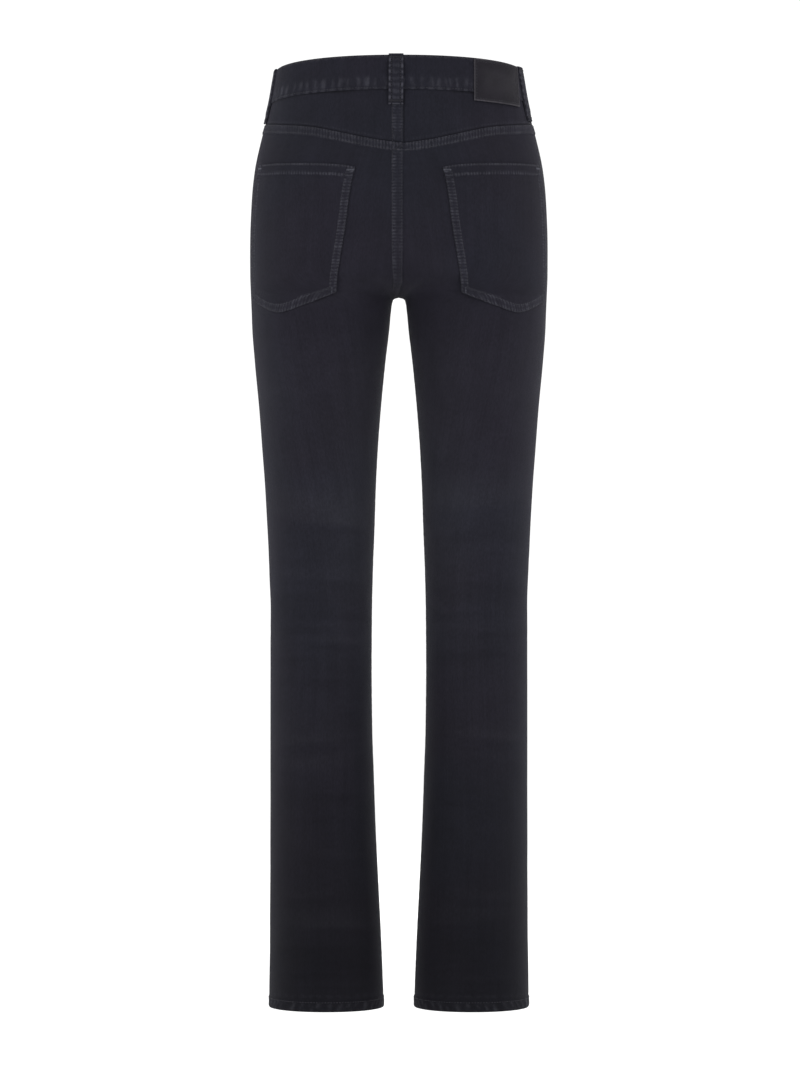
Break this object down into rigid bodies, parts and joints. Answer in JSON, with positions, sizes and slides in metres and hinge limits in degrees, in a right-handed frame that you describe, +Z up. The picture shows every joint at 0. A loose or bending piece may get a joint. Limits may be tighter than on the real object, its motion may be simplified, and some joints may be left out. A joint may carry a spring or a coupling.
{
  "type": "straight leg jeans",
  "caption": "High-rise straight leg jeans in washed black denim, filled out as if worn, with back yokes, patch pockets, a blank leather patch, belt loops and a fly front.",
  "frame": {"origin": "centre of the waist opening, at half the height of the waistband at the sides", "axes": "+Z up, +Y towards the back of the jeans, +X towards the wearer's left"},
  "size_m": [0.327, 0.2286, 1.0382],
  "materials": {
    "denim": "matt twill",
    "leather": "matt",
    "button": "satin"
  },
  "bodies": {
    "root": {"waistband": "denim", "yoke_left": "denim", "yoke_right": "denim", "back_left": "denim", "back_right": "denim", "front_left": "denim", "front_right": "denim", "pocket_facing_left": "denim", "pocket_facing_right": "denim", "back_pocket_left": "denim", "back_pocket_right": "denim", "belt_loop_centre": "denim", "belt_loop_side_left": "denim", "belt_loop_side_right": "denim", "belt_loop_front_left": "denim", "belt_loop_front_right": "denim", "leather_patch": "leather", "button": "button"}
  },
  "joints": []
}
